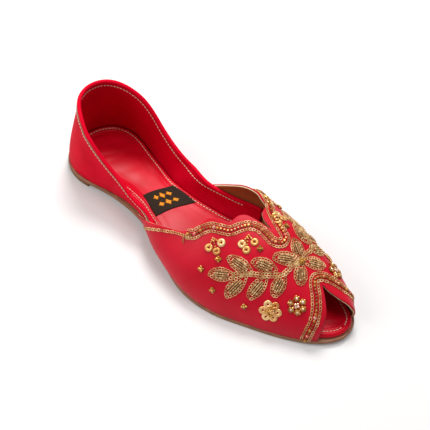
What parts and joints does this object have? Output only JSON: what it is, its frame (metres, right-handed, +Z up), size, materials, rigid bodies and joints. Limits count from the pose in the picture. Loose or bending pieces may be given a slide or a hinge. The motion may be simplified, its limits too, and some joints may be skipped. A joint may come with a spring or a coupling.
{
  "type": "open-toed mojari shoe",
  "caption": "Right flat leather slip-on shoe with a high round back, low open sides, scalloped throat with a V notch and a small open toe.",
  "frame": {"origin": "centre of the heel lift's flat floor face", "axes": "+X to the toe, +Y to the inner side of the foot, +Z up"},
  "size_m": [0.2497, 0.0873, 0.0643],
  "materials": {
    "sole_leather": "tan sole leather with a smooth cut edge",
    "heel_leather": "brown stacked heel leather",
    "footbed_leather": "red glossy footbed leather",
    "label_cloth": "dark brown woven label",
    "quarter_leather": "red satin leather",
    "vamp_leather": "red satin leather with a tan lining",
    "gold_thread": "dull gold metal-thread embroidery"
  },
  "bodies": {
    "root": {"outsole": "sole_leather", "heel_lift": "heel_leather", "insole": "footbed_leather", "sock_label": "label_cloth", "quarter": "quarter_leather", "vamp": "vamp_leather", "throat_braid": "gold_thread", "toe_braid": "gold_thread", "leaf_spray": "gold_thread", "sequin_flower_outer": "gold_thread", "sequin_flower_inner": "gold_thread", "bead_flower_outer": "gold_thread", "bead_flower_inner": "gold_thread"}
  },
  "joints": []
}
